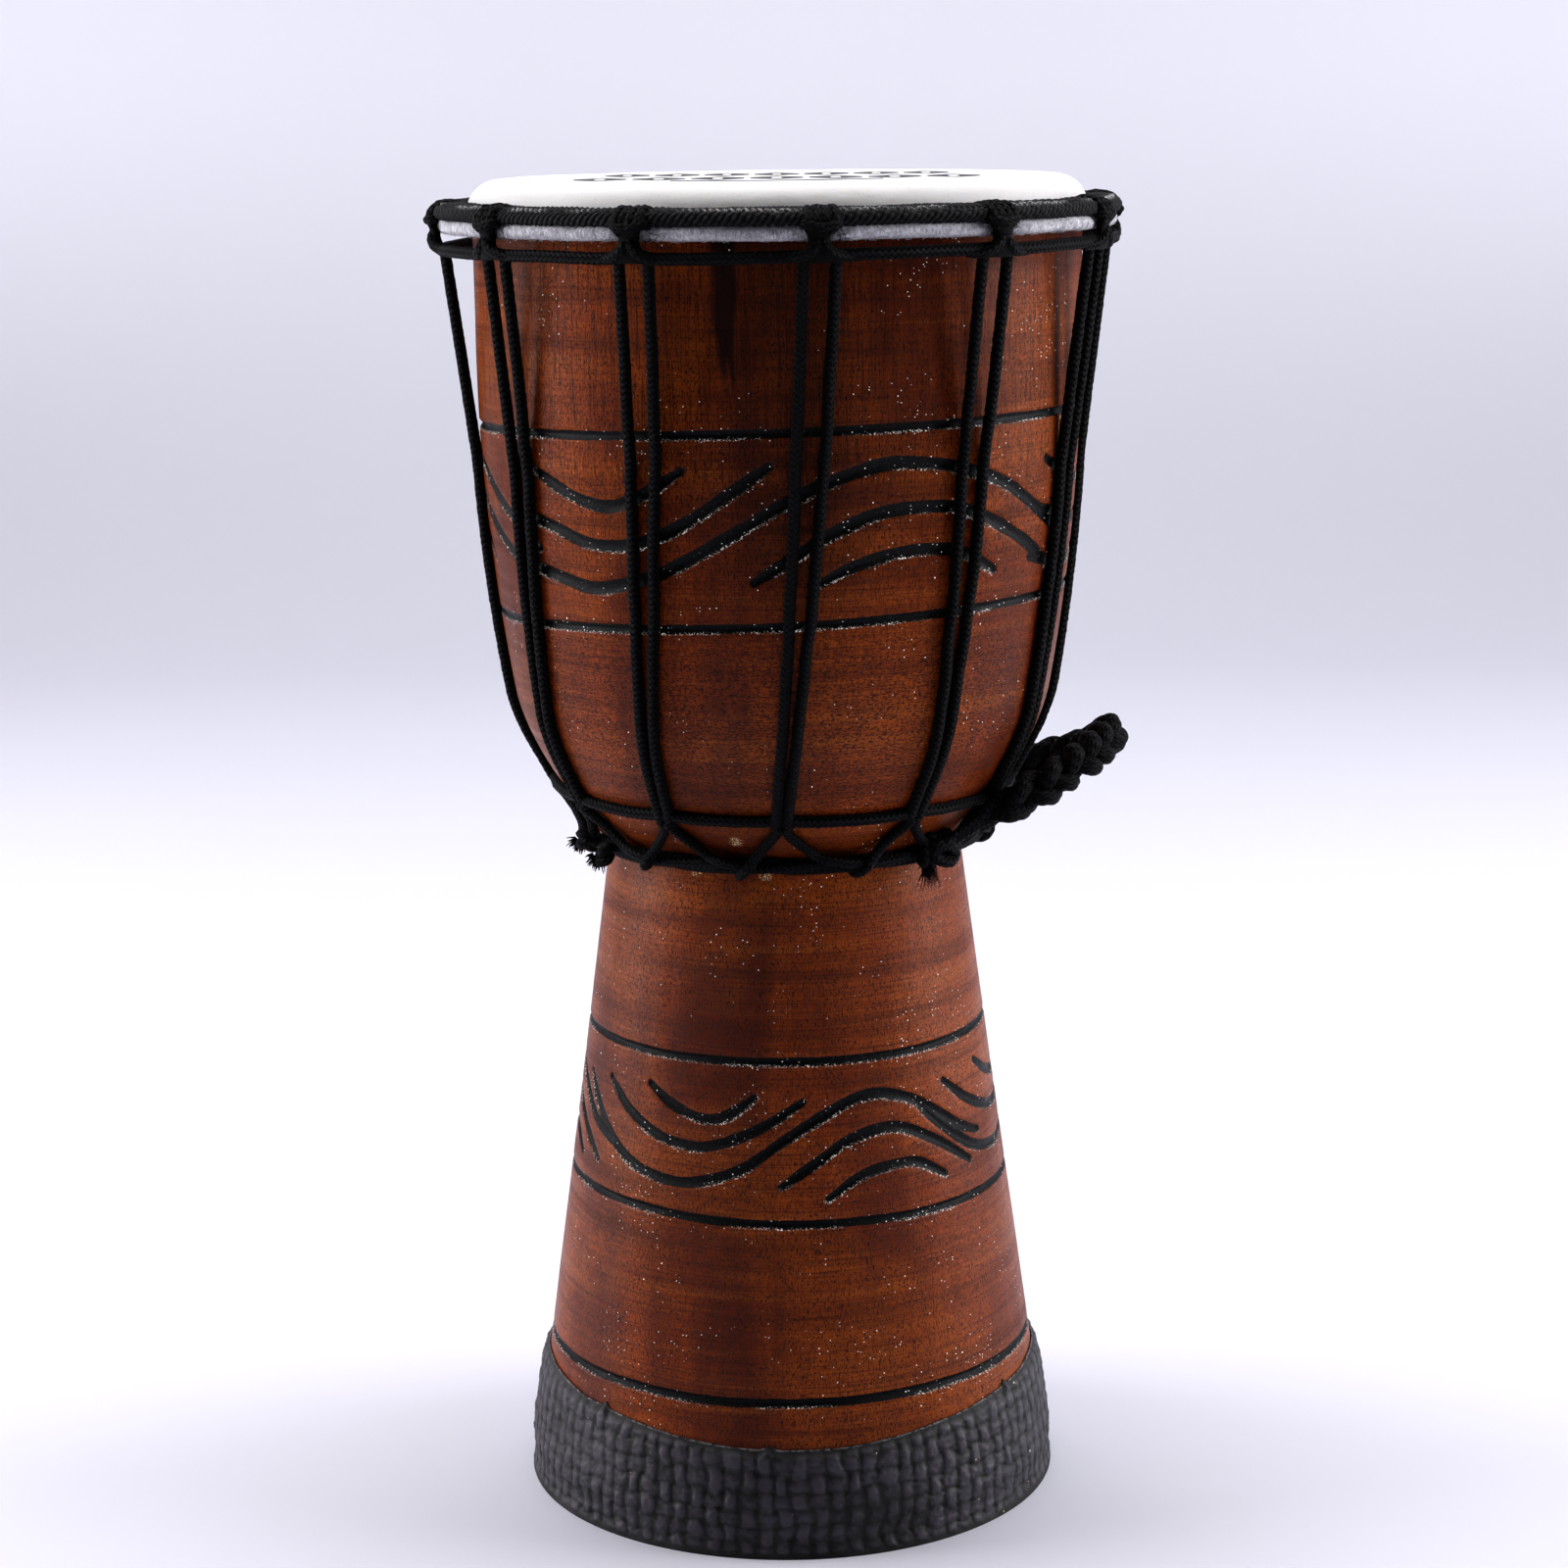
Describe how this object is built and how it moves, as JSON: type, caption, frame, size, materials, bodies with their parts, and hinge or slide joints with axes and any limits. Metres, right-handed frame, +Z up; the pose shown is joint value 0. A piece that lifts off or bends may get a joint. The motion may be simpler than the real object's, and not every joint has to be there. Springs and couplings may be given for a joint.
{
  "type": "djembe drum",
  "caption": "Wooden goblet hand drum with a roped skin head, carved bands, a rubber foot and a plaited carry handle that swings on the waist ring.",
  "frame": {"origin": "centre of the foot's underside, on the floor plane", "axes": "+Z up along the drum's axis to the head, +X towards the carry handle, +Y to the back"},
  "size_m": [0.2101, 0.2094, 0.4012],
  "materials": {
    "wood": "glossy red-brown stain, black painted grooves",
    "skin": "bleached goatskin, matt",
    "steel": "plain rod",
    "cord": "black braided cord",
    "rubber": "embossed basket weave"
  },
  "bodies": {
    "drum": {"shell": "wood", "drum_skin": "skin", "flesh_ring": "steel", "crown_ring": "steel", "crown_wrap": "cord", "crown_hitches": "cord", "crown_cord": "cord", "lacing_strands": "cord", "weave_cord": "cord", "waist_ring": "steel", "waist_wrap": "cord", "waist_loops": "cord", "handle_lashing_front": "cord", "handle_lashing_rear": "cord", "handle_tail": "cord", "lacing_end_knot": "cord", "foot_rubber": "rubber"},
    "handle": {"handle_strand_a": "cord", "handle_strand_b": "cord", "handle_strand_c": "cord"}
  },
  "joints": [
    {"name": "handle_swing", "type": "hinge", "parent": "drum", "child": "handle", "pos_m": [0.0444, 0, 0.205], "axis": [0, 1, 0], "range_deg": [-3, 88]}
  ]
}
